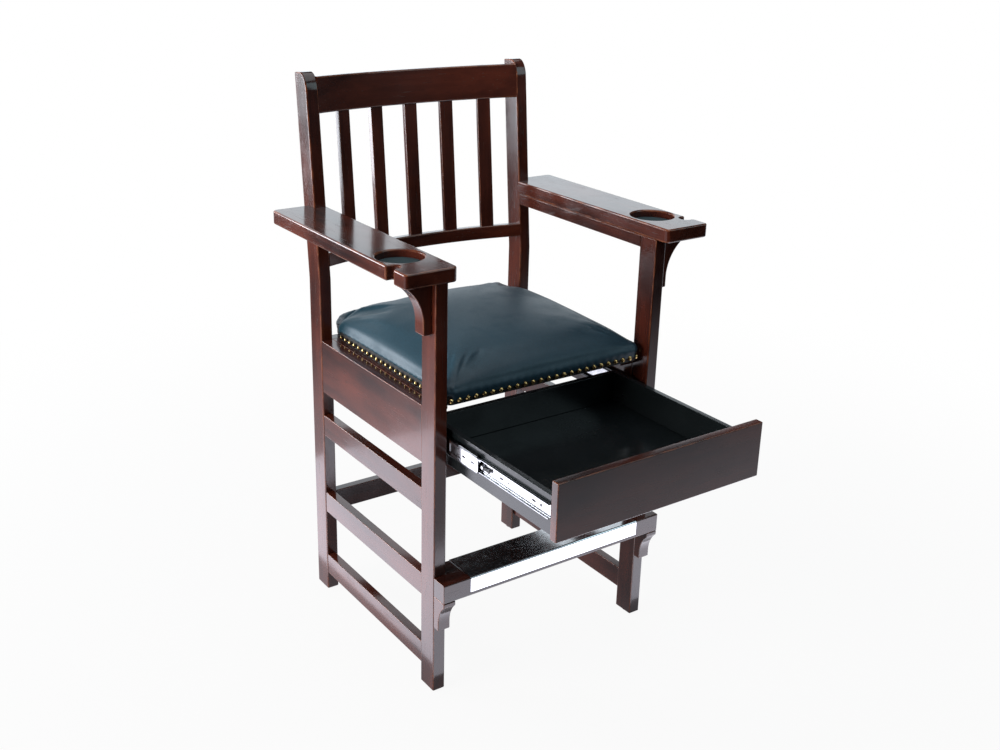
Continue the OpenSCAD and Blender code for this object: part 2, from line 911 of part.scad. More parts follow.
module drawer_back() {
    color(box_colour)
        place()
            translate([0, -drawer_open, 0])
                block(-box_out + box_t, box_out - box_t, box_rear_y - box_t, box_rear_y,
                    bottom_z + bottom_t, box_z + box_h);
}

module drawer_bottom() {
    color(box_colour)
        place()
            translate([0, -drawer_open, 0])
                block(-bottom_half_w, bottom_half_w, front_back_y, box_rear_y, bottom_z,
                    bottom_z + bottom_t);
}

// Section of a slide's member: a channel whose web lies at the given distance from the leg.
// Its flanges run from the web to the tip, towards the drawer when the tip is farther.
module channel_section(web_at, tip, h) {
    r = 2;
    back = (tip > web_at) ? web_at : web_at + steel_t;
    way = (tip > web_at) ? 1 : -1;
    depth = abs(tip - back);
    translate([leg_in - back, slide_z])
        scale([-way, 1])
            difference() {
                union() {
                    translate([0, -h / 2 + r])
                        square([r, h - 2 * r]);
                    translate([r, -h / 2])
                        square([depth - r, h]);
                    for (z = [-1, 1])
                        translate([r, z * (h / 2 - r)])
                            circle(r);
                }
                translate([steel_t, -h / 2 + r])
                    square([depth, h - 2 * r]);
                translate([r, -h / 2 + steel_t])
                    square([depth, h - 2 * steel_t]);
                for (z = [-1, 1])
                    translate([r, z * (h / 2 - r)])
                        circle(r - steel_t);
            }
}

// A round hole or a slot through a slide's web, at a distance behind the slide's front.
module web_hole(y, d, slot = 0) {
    translate([leg_in - slide_t - over, y, slide_z])
        rotate([0, 90, 0]) {
            translate([0, slot / 2, 0])
                cylinder(d = d, h = slide_t + 2 * over);
            if (slot > 0) {
                translate([0, -slot / 2, 0])
                    cylinder(d = d, h = slide_t + 2 * over);
                translate([-d / 2, -slot / 2, 0])
                    cube([d, slot, slide_t + 2 * over]);
            }
        }
}

module slide_outer(side) {
    lip = 1.3;
    color(zinc)
        place(side)
            difference() {
                along_y(slide_front_y, slide_rear_y) {
                    channel_section(0, outer_tip_at, outer_h);
                    for (z = [outer_h / 2 - steel_t - lip, -outer_h / 2 + steel_t])
                        translate([leg_in - outer_tip_at, slide_z + z])
                            square([steel_t, lip]);
                }
                for (at = outer_screw_at)
                    web_hole(slide_front_y + at, hole_d);
                for (at = outer_screw_at)
                    if (at < slide_len / 2)
                        web_hole(slide_front_y + at + 20, hole_d, 8);
            }
}

// The middle member has rounded front corners, a window and two small slots near its front.
module slide_middle(side) {
    y0 = middle_front_y;
    nose_r = 9;
    color(zinc)
        place(side)
            translate([0, -drawer_open / 2, 0])
                difference() {
                    intersection() {
                        along_y(y0, slide_rear_y)
                            channel_section(middle_at, middle_tip_at, middle_h);
                        along_x(leg_in - slide_t, leg_in)
                            round_rect(y0, slide_rear_y + nose_r, slide_z - middle_h / 2,
                                slide_z + middle_h / 2, nose_r);
                    }
                    block(leg_in - inner_tip_at, leg_in, y0 + window_y0, y0 + window_y1,
                        slide_z - window_h / 2, slide_z + window_h / 2);
                    web_hole(y0 + 18, 3.2, 8);
                    web_hole(y0 + 47, 4, 6);
                }
}

module slide_inner(side) {
    pin_y = slide_front_y + latch_at;
    color(zinc)
        place(side)
            translate([0, -drawer_open, 0])
                union() {
                    difference() {
                        along_y(slide_front_y, slide_rear_y)
                            channel_section(inner_web_at, inner_tip_at, inner_h);
                        for (at = inner_round_at)
                            web_hole(slide_front_y + at, hole_d);
                        for (at = inner_slot_at)
                            web_hole(slide_front_y + at, hole_d, 7);
                    }
                    translate([leg_in - inner_web_at - eps, pin_y, slide_z])
                        rotate([0, 90, 0]) {
                            cylinder(d = latch_pin_d, h = inner_web_at - latch_from + 0.6);
                            cylinder(d = latch_pin_d + 4,
                                h = inner_web_at - latch_from - latch_t - 0.2);
                        }
                    translate([leg_in - latch_from + 0.3, pin_y, slide_z])
                        rotate([0, 90, 0])
                            cylinder(d = latch_pin_d + 2, h = 0.5);
                }
}

// Ball retainer: a strip bent round both raceways, with a hole for each ball.
module ball_cage(at, ball_at, ball_z, y, colour) {
    ys = [for (k = [0 : ball_count - 1]) y + (k - (ball_count - 1) / 2) * ball_pitch];
    tip = ball_at + ball_hole_d / 2 + 0.9;
    color(colour) {
        difference() {
            along_y(y - cage_len / 2, y + cage_len / 2) {
                translate([leg_in - at - cage_t, slide_z - ball_z - cage_t / 2])
                    square([cage_t, 2 * ball_z + cage_t]);
                for (z = [-1, 1])
                    translate([leg_in - tip, slide_z + z * ball_z - cage_t / 2])
                        square([tip - at, cage_t]);
            }
            for (by = ys)
                translate([leg_in - ball_at, by, slide_z - ball_z - over])
                    cylinder(d = ball_hole_d, h = 2 * ball_z + 2 * over);
        }
        for (by = ys, z = [-1, 1])
            translate([leg_in - ball_at, by, slide_z + z * ball_z])
                sphere(d = ball_d);
    }
}

module ball_cage_outer(side) {
    place(side)
        translate([0, -drawer_open / 4, 0])
            ball_cage(cage_outer_at, outer_ball_at, outer_ball_z, cage_outer_y, steel);
}

module ball_cage_inner(side) {
    place(side)
        translate([0, -drawer_open * 3 / 4, 0])
            ball_cage(cage_inner_at, inner_ball_at, inner_ball_z, cage_inner_y, steel);
}

// Release lever: an eye round the rivet, an arm and a finger tab.
module slide_latch(side) {
    eye_r = 5;
    tab_r = 4;
    color(black)
        place(side)
            translate([leg_in - latch_from - latch_t, slide_front_y + latch_at - drawer_open,
                slide_z])
                rotate([90, 0, 90])
                    linear_extrude(latch_t)
                        difference() {
                            union() {
                                circle(eye_r);
                                translate([-latch_len + tab_r, -tab_r * 0.7])
                                    square([latch_len - tab_r, tab_r * 1.4]);
                                translate([-latch_len + tab_r, 0])
                                    circle(tab_r);
                            }
                            circle(d = latch_pin_d + 2 * latch_play);
                        }
}

// Screw along +X with its head on the drawer's side of the web.
module slide_screw() {
    translate([-screw_head_t, 0, 0])
        rotate([0, 90, 0]) {
            cylinder(d = screw_head_d, h = screw_head_t);
            cylinder(d = screw_d, h = screw_head_t + steel_t + screw_len - 0.5);
        }
}

module slide_screws_case() {
    color(zinc)
        for (side = [right, left])
            place(side)
                for (at = outer_screw_at)
                    translate([leg_in - steel_t, slide_front_y + at, slide_z])
                        slide_screw();
}

module slide_screws_drawer() {
    color(zinc)
        for (side = [right, left])
            place(side)
                for (at = drawer_screw_at)
                    translate([leg_in - inner_web_at, slide_front_y + at - drawer_open, slide_z])
                        mirror([1, 0, 0])
                            slide_screw();
}

front_leg(right);  // front_leg_right
front_leg(left);  // front_leg_left
rear_post(right);  // rear_post_right
rear_post(left);  // rear_post_left
side_apron(right);  // side_apron_right
side_apron(left);  // side_apron_left
back_apron();
seat_cleat(right);  // seat_cleat_right
seat_cleat(left);  // seat_cleat_left
side_stretcher(right, upper_stretcher_z);  // upper_stretcher_right
side_stretcher(left, upper_stretcher_z);  // upper_stretcher_left
side_stretcher(right, middle_stretcher_z);  // middle_stretcher_right
side_stretcher(left, middle_stretcher_z);  // middle_stretcher_left
side_stretcher(right, lower_stretcher_z);  // lower_stretcher_right
side_stretcher(left, lower_stretcher_z);  // lower_stretcher_left
back_stretcher();
crest_rail();
lower_back_rail();
back_slat(1);  // back_slat_1
back_slat(2);  // back_slat_2
back_slat(3);  // back_slat_3
back_slat(4);  // back_slat_4
back_slat(5);  // back_slat_5
arm_board(right);  // arm_board_right
arm_board(left);  // arm_board_left
arm_rail(right);  // arm_rail_right
arm_rail(left);  // arm_rail_left
arm_bracket(right);  // arm_bracket_right
arm_bracket(left);  // arm_bracket_left
cup_pad(right);  // cup_pad_right
cup_pad(left);  // cup_pad_left
seat_board();
seat_cushion();
seat_nails();
seat_screws();
footrest_board();
footrest_plate();
footrest_corbel(right);  // footrest_corbel_right
footrest_corbel(left);  // footrest_corbel_left
floor_glides();
drawer_front();
drawer_side(right);  // drawer_side_right
drawer_side(left);  // drawer_side_left
drawer_back();
drawer_bottom();
slide_outer(right);  // slide_outer_right
slide_outer(left);  // slide_outer_left
slide_middle(right);  // slide_middle_right
slide_middle(left);  // slide_middle_left
slide_inner(right);  // slide_inner_right
slide_inner(left);  // slide_inner_left
ball_cage_outer(right);  // ball_cage_outer_right
ball_cage_outer(left);  // ball_cage_outer_left
ball_cage_inner(right);  // ball_cage_inner_right
ball_cage_inner(left);  // ball_cage_inner_left
slide_latch(right);  // slide_latch_right
slide_latch(left);  // slide_latch_left
slide_screws_case();
slide_screws_drawer();
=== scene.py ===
"""Spectator chair: stained wood, nailed leather seat, plated footrest and open drawer in a pale studio."""
import json
import math

import bmesh
import bpy
import numpy as np
from mathutils import Matrix, Vector


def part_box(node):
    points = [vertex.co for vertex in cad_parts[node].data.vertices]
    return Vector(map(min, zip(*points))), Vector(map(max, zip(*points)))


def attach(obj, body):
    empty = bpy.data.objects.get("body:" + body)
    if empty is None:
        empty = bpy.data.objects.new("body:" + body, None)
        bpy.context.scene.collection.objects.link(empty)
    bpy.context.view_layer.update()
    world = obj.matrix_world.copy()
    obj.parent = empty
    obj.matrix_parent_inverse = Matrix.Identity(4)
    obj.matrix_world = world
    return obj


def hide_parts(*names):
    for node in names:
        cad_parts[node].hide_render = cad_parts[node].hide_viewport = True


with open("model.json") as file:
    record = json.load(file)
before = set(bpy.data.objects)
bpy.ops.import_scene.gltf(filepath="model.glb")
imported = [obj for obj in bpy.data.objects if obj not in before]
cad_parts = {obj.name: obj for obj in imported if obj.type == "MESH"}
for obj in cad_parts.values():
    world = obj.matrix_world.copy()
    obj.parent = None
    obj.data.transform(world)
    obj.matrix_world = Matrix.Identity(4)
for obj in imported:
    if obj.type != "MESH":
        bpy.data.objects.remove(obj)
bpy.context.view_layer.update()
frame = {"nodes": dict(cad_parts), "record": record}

scene = bpy.context.scene
slot_of = {part["node"]: part["material_slot"] for part in frame["record"]["subparts"]}
body_of = {node: body for body, nodes in frame["record"]["behaviour"]["bodies"].items() for node in nodes}

MM = 0.001
X, Y, Z = 0, 1, 2
WELD = 0.005 * MM               # points of a solid's loose triangles that lie nearer than this are one
EASED_TURN = math.radians(30)   # an outer edge that turns more than this is eased
HARD_TURN = math.radians(32)    # an edge that turns more than this is shaded as a hard line
SQUARE_ON = 0.95                # a side looks along an axis if at least this much of its normal does
TIMBER = 4.0                    # metres either way of the timber that a board was cut from
FULL_TURN = 6.28


# Node trees

def add(tree, kind, inputs=(), **settings):
    """Adds a node: inputs are joined when they are sockets, and set when they are values."""
    made = tree.nodes.new(kind)
    for name, value in settings.items():
        setattr(made, name, value)
    for key, value in dict(inputs).items():
        if isinstance(value, bpy.types.NodeSocket):
            tree.links.new(value, made.inputs[key])
        else:
            made.inputs[key].default_value = value
    return made


def shader_group(name, inputs, outputs):
    """An empty shader group with (name, type, value) inputs and (name, type) outputs."""
    tree = bpy.data.node_groups.new(name, "ShaderNodeTree")
    for label, kind, value in inputs:
        socket = tree.interface.new_socket(label, in_out="INPUT", socket_type="NodeSocket" + kind)
        if value is not None:
            socket.default_value = value
    for label, kind in outputs:
        tree.interface.new_socket(label, in_out="OUTPUT", socket_type="NodeSocket" + kind)
    return tree, add(tree, "NodeGroupInput"), add(tree, "NodeGroupOutput")


def put_out(tree, out, values):
    """Joins a group's results to its output sockets."""
    for name, value in values.items():
        tree.links.new(value, out.inputs[name])
    return tree


def maths(tree, operation, *values, clamp=False):
    """One step of arithmetic on sockets or numbers."""
    return add(tree, "ShaderNodeMath", enumerate(values), operation=operation, use_clamp=clamp).outputs[0]


def noise(tree, place, scale, detail=3.0, roughness=0.5, distortion=0.0):
    """Noise between 0 and 1, with its scale in lumps per metre."""
    return add(tree, "ShaderNodeTexNoise", {"Vector": place, "Scale": scale, "Detail": detail,
               "Roughness": roughness, "Distortion": distortion}).outputs["Fac"]


def spread(tree, value, low, high, to_low=0.0, to_high=1.0):
    """Maps a value between two limits, smoothly and clamped."""
    return add(tree, "ShaderNodeMapRange", {"Value": value, "From Min": low, "From Max": high,
               "To Min": to_low, "To Max": to_high}, interpolation_type="SMOOTHSTEP").outputs["Result"]


def stretch(tree, place, amounts):
    """A place scaled by its own amount along each axis."""
    return add(tree, "ShaderNodeMapping", {"Vector": place, "Scale": amounts}).outputs["Vector"]


def mix_colour(tree, share, first, second):
    """The first colour where the share is 0, and the second where it is 1."""
    return add(tree, "ShaderNodeMix", {0: share, 6: first, 7: second}, data_type="RGBA",
               clamp_factor=True).outputs[2]


def bump(tree, height, distance, strength, normal=None):
    """A normal that a height of the given distance in metres bends, on top of another normal if one is given."""
    inputs = {"Height": height, "Distance": distance, "Strength": strength}
    if normal is not None:
        inputs["Normal"] = normal
    return add(tree, "ShaderNodeBump", inputs).outputs["Normal"]


# Effects that more than one finish uses

def wood_figure_group():
    """Figure of a stained board: broad bands, fine streaks, blotches of stain and pores along its grain."""
    tree, given, out = shader_group("wood_figure", [("Grain Place", "Vector", None), ("Band Scale", "Float", 10.0),
                                    ("Streak Scale", "Float", 60.0), ("Pore Scale", "Float", 420.0)],
                                    [("Tone", "Float"), ("Pores", "Float"), ("Height", "Float")])
    place = given.outputs["Grain Place"]
    bands = noise(tree, stretch(tree, place, (0.12, 1.0, 1.0)), given.outputs["Band Scale"], 4.0, 0.55, 0.6)
    streaks = noise(tree, stretch(tree, place, (0.03, 1.0, 1.0)), given.outputs["Streak Scale"], 5.0, 0.6)
    blotches = noise(tree, stretch(tree, place, (0.45, 1.0, 1.0)), 11.0)
    band_share, streak_share, blotch_share = 0.35, 0.2, 0.45
    tone = maths(tree, "ADD", maths(tree, "MULTIPLY", spread(tree, bands, 0.3, 0.7), band_share),
                 maths(tree, "MULTIPLY", spread(tree, streaks, 0.34, 0.66), streak_share))
    tone = maths(tree, "ADD", tone, maths(tree, "MULTIPLY", spread(tree, blotches, 0.32, 0.68), blotch_share),
                 clamp=True)
    dashes = noise(tree, stretch(tree, place, (0.06, 1.0, 1.0)), given.outputs["Pore Scale"], 2.0)
    pores = maths(tree, "MULTIPLY", spread(tree, dashes, 0.58, 0.68), spread(tree, streaks, 0.4, 0.62))
    height = maths(tree, "SUBTRACT", maths(tree, "MULTIPLY", streaks, 0.25), pores)
    return put_out(tree, out, {"Tone": tone, "Pores": pores, "Height": height})


def handling_group():
    """Marks of use: smudges that change the gloss, and faint scratches."""
    tree, given, out = shader_group("handling_marks", [("Place", "Vector", None), ("Smudge Size", "Float", 9.0)],
                                    [("Smudge", "Float"), ("Scratch", "Float")])
    place = given.outputs["Place"]
    smudge = spread(tree, noise(tree, place, given.outputs["Smudge Size"], 5.0, 0.62), 0.38, 0.72)
    turned = add(tree, "ShaderNodeMapping", {"Vector": place, "Rotation": (0.3, 0.5, 0.7),
                 "Scale": (6.0, 150.0, 150.0)}).outputs["Vector"]
    hair = noise(tree, turned, 3.0, 2.0)
    where_scratched = spread(tree, noise(tree, place, 12.0, 1.0), 0.5, 0.6)
    scratch = maths(tree, "MULTIPLY", spread(tree, hair, 0.66, 0.7), where_scratched)
    return put_out(tree, out, {"Smudge": smudge, "Scratch": scratch})


def hide_group():
    """Grain of smooth hide: pebbles a millimetre wide, fine creases and a slow waviness."""
    tree, given, out = shader_group("hide_grain", [("Place", "Vector", None), ("Pebble Scale", "Float", 700.0)],
                                    [("Pebbles", "Float"), ("Creases", "Float"), ("Cloud", "Float")])
    place = given.outputs["Place"]
    cells = add(tree, "ShaderNodeTexVoronoi", {"Vector": place, "Scale": given.outputs["Pebble Scale"]},
                feature="SMOOTH_F1").outputs["Distance"]
    creases = noise(tree, place, 190.0, 6.0, 0.62, 1.2)
    return put_out(tree, out, {"Pebbles": spread(tree, cells, 0.1, 0.6), "Creases": creases,
                               "Cloud": noise(tree, place, 7.0)})


FIGURE, HANDLING, HIDE = wood_figure_group(), handling_group(), hide_group()


# Finishes

def material(name):
    """A material, the tree that holds it and its Principled BSDF."""
    made = bpy.data.materials.new(name)
    made.use_nodes = True
    return made, made.node_tree, made.node_tree.nodes["Principled BSDF"]


def dress(tree, surface, colour, roughness, normal, plain=()):
    """Joins what changes over a surface, and sets what is the same all over it."""
    for socket, value in (("Base Color", colour), ("Roughness", roughness), ("Normal", normal)):
        tree.links.new(value, surface.inputs[socket])
    for socket, value in dict(plain).items():
        surface.inputs[socket].default_value = value


def object_place(tree):
    """Where a point lies on the chair."""
    return add(tree, "ShaderNodeTexCoord").outputs["Object"]


def board_place(tree):
    """Where a point lies in the board it was cut from."""
    return add(tree, "ShaderNodeAttribute", attribute_name="grain_place").outputs["Vector"]


def stained_wood():
    """Dark walnut stain under satin lacquer, lighter along the eased edges: partly stain worn thin there, partly a
    painted highlight.
    """
    made, tree, surface = material("stained_wood")
    place = board_place(tree)
    eased = add(tree, "ShaderNodeAttribute", attribute_name="eased").outputs["Fac"]
    figure = add(tree, "ShaderNodeGroup", {"Grain Place": place}, node_tree=FIGURE).outputs
    marks = add(tree, "ShaderNodeGroup", {"Place": place}, node_tree=HANDLING).outputs
    deep, warm, rubbed_and_highlight = (0.0095, 0.0028, 0.0024, 1), (0.09, 0.0195, 0.0105, 1), (0.2, 0.068, 0.032, 1)
    pore = (0.008, 0.003, 0.002, 1)
    tone = mix_colour(tree, figure["Tone"], deep, warm)
    # Eased faces get a lighter orange-brown in patches: partly stain worn thin, partly a painted highlight.
    rub_and_highlight_share = spread(tree, noise(tree, place, 38.0, 4.0), 0.35, 0.65, 0.08, 0.6)
    tone = mix_colour(tree, maths(tree, "MULTIPLY", eased, rub_and_highlight_share), tone, rubbed_and_highlight)
    tone = mix_colour(tree, maths(tree, "MULTIPLY", figure["Pores"], 0.55), tone, pore)
    gloss = maths(tree, "ADD", spread(tree, marks["Smudge"], 0.0, 1.0, 0.15, 0.22),
                  maths(tree, "MULTIPLY", figure["Pores"], 0.15))
    fine = bump(tree, figure["Height"], 0.04 * MM, 0.35)
    wave = bump(tree, noise(tree, place, 22.0, 2.0), 0.4 * MM, 0.25, fine)
    dress(tree, surface, tone, gloss, wave, {"Specular IOR Level": 0.4, "Coat Weight": 0.2, "Coat Roughness": 0.08})
    return made


def lacquered_box():
    """Black lacquer over smooth board, with a little of the board's texture and dull smudges."""
    made, tree, surface = material("drawer_box")
    place = board_place(tree)
    marks = add(tree, "ShaderNodeGroup", {"Place": place}, node_tree=HANDLING).outputs
    tone = mix_colour(tree, noise(tree, place, 14.0), (0.003, 0.0045, 0.005, 1), (0.008, 0.0105, 0.012, 1))
    tone = mix_colour(tree, maths(tree, "MULTIPLY", marks["Scratch"], 0.12), tone, (0.05, 0.055, 0.06, 1))
    dress(tree, surface, tone, spread(tree, marks["Smudge"], 0.0, 1.0, 0.18, 0.28),
          bump(tree, noise(tree, place, 900.0), 0.05 * MM, 0.4))
    return made


def slate_leather():
    """Dark slate hide with a soft polish on its crown."""
    made, tree, surface = material("leather")
    place = object_place(tree)
    hide = add(tree, "ShaderNodeGroup", {"Place": place}, node_tree=HIDE).outputs
    marks = add(tree, "ShaderNodeGroup", {"Place": place}, node_tree=HANDLING).outputs
    tone = mix_colour(tree, hide["Cloud"], (0.009, 0.033, 0.051, 1), (0.0145, 0.045, 0.067, 1))
    between_pebbles = spread(tree, hide["Pebbles"], 0.55, 1.0, 0.0, 0.35)
    tone = mix_colour(tree, between_pebbles, tone, (0.005, 0.009, 0.012, 1))
    rough = maths(tree, "ADD", spread(tree, marks["Smudge"], 0.0, 1.0, 0.4, 0.5),
                  maths(tree, "MULTIPLY", hide["Pebbles"], 0.06))
    pebbled = bump(tree, hide["Pebbles"], -0.12 * MM, 0.45)
    creased = bump(tree, hide["Creases"], 0.18 * MM, 0.5, pebbled)
    dress(tree, surface, tone, rough, bump(tree, hide["Cloud"], 1.6 * MM, 0.35, creased),
          {"Specular IOR Level": 0.42, "Specular Tint": (0.88, 0.95, 1.0, 1)})
    return made


def matt(name, dark, light, scale, detail, dull, relief, strength, roughness=0.5):
    """A matt finish of one grain: roller paint, felt or plastic."""
    made, tree, surface = material(name)
    grain = noise(tree, object_place(tree), scale, detail, roughness)
    dress(tree, surface, mix_colour(tree, grain, (*dark, 1), (*light, 1)), spread(tree, grain, 0.2, 0.8, *dull),
          bump(tree, grain, relief, strength))
    return made


def dull_plastic(name, tone):
    """Moulded black plastic."""
    return matt(name, [0.7 * part for part in tone], tone, 1500.0, 3.0, (0.38, 0.55), 0.08 * MM, 0.5)


def metal(name, dark, light, gloss, lines=None, dents=0.0, spot_scale=45.0, relief=0.1 * MM, darker_off_level=None):
    """Bare or plated metal: mottled colour, smudged gloss, scratches, and lines, dents or a darkening away from a
    given height where asked.
    """
    made, tree, surface = material(name)
    place = object_place(tree)
    marks = add(tree, "ShaderNodeGroup", {"Place": place, "Smudge Size": 30.0}, node_tree=HANDLING).outputs
    mottle = noise(tree, place, spot_scale, 4.0, 0.6)
    tone = mix_colour(tree, spread(tree, mottle, 0.3, 0.7), (*dark, 1), (*light, 1))
    # Near black above and below a given height, with a ragged border.
    if darker_off_level is not None:
        level, plain_to, black_from = darker_off_level
        height = add(tree, "ShaderNodeSeparateXYZ", {0: place}).outputs["Z"]
        off_level = maths(tree, "ABSOLUTE", maths(tree, "SUBTRACT", height, level))
        ragged = maths(tree, "MULTIPLY_ADD", noise(tree, place, 60.0, 4.0), 4 * MM, off_level)
        tone = mix_colour(tree, spread(tree, ragged, plain_to, black_from, 0.0, 0.9), tone, (0.02, 0.021, 0.022, 1))
    rough = maths(tree, "ADD", spread(tree, marks["Smudge"], 0.0, 1.0, *gloss),
                  maths(tree, "MULTIPLY", marks["Scratch"], 0.08))
    texture = mottle if lines is None else noise(tree, stretch(tree, place, lines), 1.0, 3.0, 0.6)
    normal = bump(tree, texture, relief, 0.5)
    if dents:
        normal = bump(tree, noise(tree, place, 330.0, 1.0), dents, 0.6, normal)
    dress(tree, surface, tone, rough, normal, {"Metallic": 1.0})
    return made


slide_level = (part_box("slide_inner_right")[0].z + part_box("slide_inner_right")[1].z) / 2
finishes = {
    "stained_wood": stained_wood(),
    "drawer_box": lacquered_box(),
    "seat_board": matt("seat_board", (0.008, 0.008, 0.009), (0.022, 0.021, 0.02), 260.0, 4.0, (0.5, 0.75),
                       0.2 * MM, 0.6),
    "leather": slate_leather(),
    "cup_pad": matt("cup_pad", (0.012, 0.028, 0.034), (0.03, 0.058, 0.066), 1400.0, 4.0, (0.6, 0.85),
                    0.2 * MM, 0.8, roughness=0.7),
    "brass": metal("brass", (0.42, 0.27, 0.09), (0.78, 0.56, 0.24), (0.16, 0.3), dents=0.3 * MM, spot_scale=240.0),
    "polished_steel": metal("polished_steel", (0.7, 0.72, 0.74), (0.78, 0.79, 0.81), (0.12, 0.16),
                            lines=(3.0, 900.0, 900.0), relief=0.002 * MM),
    "zinc_steel": metal("zinc_steel", (0.62, 0.64, 0.67), (0.8, 0.81, 0.83), (0.16, 0.24),
                        lines=(900.0, 8.0, 900.0), relief=0.004 * MM, darker_off_level=(slide_level, 14 * MM, 18.5 * MM)),
    "zinc_screws": metal("zinc_screws", (0.42, 0.43, 0.45), (0.62, 0.63, 0.65), (0.24, 0.36)),
    "ball_retainer": metal("ball_retainer", (0.3, 0.3, 0.31), (0.5, 0.5, 0.51), (0.25, 0.4)),
    "glides": dull_plastic("glides", (0.025, 0.025, 0.025)),
    "latch": dull_plastic("latch", (0.012, 0.012, 0.013)),
}


# Meshes and pieces

def merged(node):
    """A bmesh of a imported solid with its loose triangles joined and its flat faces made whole."""
    mesh = bmesh.new()
    mesh.from_mesh(frame["nodes"][node].data)
    bmesh.ops.remove_doubles(mesh, verts=mesh.verts, dist=WELD)
    bmesh.ops.dissolve_limit(mesh, angle_limit=math.radians(0.5), verts=mesh.verts, edges=mesh.edges)
    return mesh


def new_piece(name, data):
    """An object at the origin that holds a mesh."""
    piece = bpy.data.objects.new(name, data)
    scene.collection.objects.link(piece)
    return piece


def piece_from(mesh, name):
    """An object made from a bmesh, which is used up."""
    data = bpy.data.meshes.new(name)
    mesh.to_mesh(data)
    mesh.free()
    return new_piece(name, data)


def plain_mesh(piece):
    """Bakes a piece's modifiers into its mesh."""
    depsgraph = bpy.context.evaluated_depsgraph_get()
    baked = bpy.data.meshes.new_from_object(piece.evaluated_get(depsgraph), preserve_all_data_layers=True,
                                            depsgraph=depsgraph)
    piece.modifiers.clear()
    piece.data = baked
    return piece


def settle(piece, *nodes):
    """Gives a finished piece its finish and body, and lets it stand for its nodes."""
    slot = slot_of[nodes[0]]
    piece.data.materials.clear()
    piece.data.materials.append(finishes[slot])
    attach(piece, body_of[nodes[0]])
    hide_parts(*nodes)
    return piece


def vectors(mesh, what):
    """One vector of every point of a mesh, as rows."""
    values = np.empty(len(mesh.vertices) * 3, np.float32)
    mesh.vertices.foreach_get(what, values)
    return values.reshape(-1, 3)


def points_of(mesh):
    return vectors(mesh, "co").astype(float)


def normals_of(mesh):
    return vectors(mesh, "normal").astype(float)


def set_points(mesh, points):
    """Moves a mesh's points to new places."""
    mesh.vertices.foreach_set("co", points.astype(np.float32).ravel())
    mesh.update()


# Boards

def grain_places(mesh, along, seed):
    """Each point's place in the board it was cut from, with the grain along its first axis."""
    places = vectors(mesh, "co")[:, [along, (along + 1) % 3, (along + 2) % 3]]
    shift = np.random.default_rng(seed).uniform(-TIMBER, TIMBER, 3).astype(np.float32)
    attribute = mesh.attributes.new("grain_place", "FLOAT_VECTOR", "POINT")
    attribute.data.foreach_set("vector", (places + shift).ravel())


def direction(edge):
    """The way an edge runs."""
    return (edge.verts[1].co - edge.verts[0].co).normalized()


def ease_edges(mesh, edges, width, steps, marked):
    """Rounds edges and marks the faces that this makes, where the stain is worn thin and a highlight is painted."""
    made = bmesh.ops.bevel(mesh, geom=edges, offset=width * MM, offset_type="OFFSET", segments=steps, profile=0.5,
                           affect="EDGES", clamp_overlap=False)
    for face in made["faces"]:
        face[marked] = 1.0


def post_from_outline(node):
    """A rear post sawn to the side outline of its solid, square-edged and ready to be eased all round."""
    mesh = merged(node)
    low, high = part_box(node)
    everything = mesh.verts[:] + mesh.edges[:] + mesh.faces[:]
    bmesh.ops.bisect_plane(mesh, geom=everything, plane_co=((low.x + high.x) / 2, 0, 0), plane_no=(1, 0, 0),
                           clear_inner=True, clear_outer=True)
    bmesh.ops.dissolve_limit(mesh, angle_limit=math.radians(0.2), verts=mesh.verts, edges=mesh.edges)
    for vert in mesh.verts:
        vert.co.x = low.x
    outline = bmesh.ops.contextual_create(mesh, geom=mesh.edges[:])["faces"]
    block = bmesh.ops.extrude_face_region(mesh, geom=outline)["geom"]
    for vert in block:
        if isinstance(vert, bmesh.types.BMVert):
            vert.co.x = high.x
    bmesh.ops.recalc_face_normals(mesh, faces=mesh.faces)
    return mesh


def notch_mouth(mesh, node):
    """The upright corners of an arm board where its cue notch opens, near the board's front."""
    near_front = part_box(node)[0].y + 60 * MM
    return [edge for edge in mesh.edges if edge.is_convex and abs(direction(edge).z) > 0.9
            and math.radians(80) < edge.calc_face_angle(0.0) < math.radians(100)
            and edge.verts[0].co.y < near_front]


def mark_upright_corners(mesh, marked):
    """Marks the slanting faces between the sides of an upright board, which its solid already has, so that they
    take the worn stain and painted highlight of eased edges.
    """
    for face in mesh.faces:
        n = face.normal
        if abs(n.z) < 0.3 and max(abs(n.x), abs(n.y)) < SQUARE_ON:
            face[marked] = 1.0


def eased_board(node, along, ease, chosen, seed):
    """A copy of a packed board with its chosen outer edges eased, for a finish that follows its grain."""
    mesh = post_from_outline(node) if node.startswith("rear_post") else merged(node)
    marked = mesh.faces.layers.float.new("eased")
    if node.startswith("arm_board"):
        mouth_radius, mouth_steps = 7.0, 5
        ease_edges(mesh, notch_mouth(mesh, node), mouth_radius, mouth_steps, marked)
    sharp = [edge for edge in mesh.edges if edge.is_manifold and edge.is_convex
             and edge.calc_face_angle(0.0) > EASED_TURN
             and chosen(direction(edge), (edge.verts[0].co + edge.verts[1].co) / 2)]
    ease_edges(mesh, sharp, ease, 4 if ease > 3 else 3, marked)
    if along == Z:
        mark_upright_corners(mesh, marked)
    for face in mesh.faces:
        face.smooth = True
    for edge in mesh.edges:
        if edge.is_manifold and edge.calc_face_angle(0.0) > HARD_TURN:
            edge.smooth = False
    piece = piece_from(mesh, node + "_board")
    piece.modifiers.new("even_normals", "WEIGHTED_NORMAL").keep_sharp = True
    plain_mesh(piece)
    grain_places(piece.data, along, seed)
    return settle(piece, node)


def sides(*stems):
    """The right and left node of each stem."""
    return [f"{stem}_{side}" for stem in stems for side in ("right", "left")]


post_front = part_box("side_apron_right")[1].y
leg_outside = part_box("front_leg_left")[1].x


def every(way, middle):
    return True


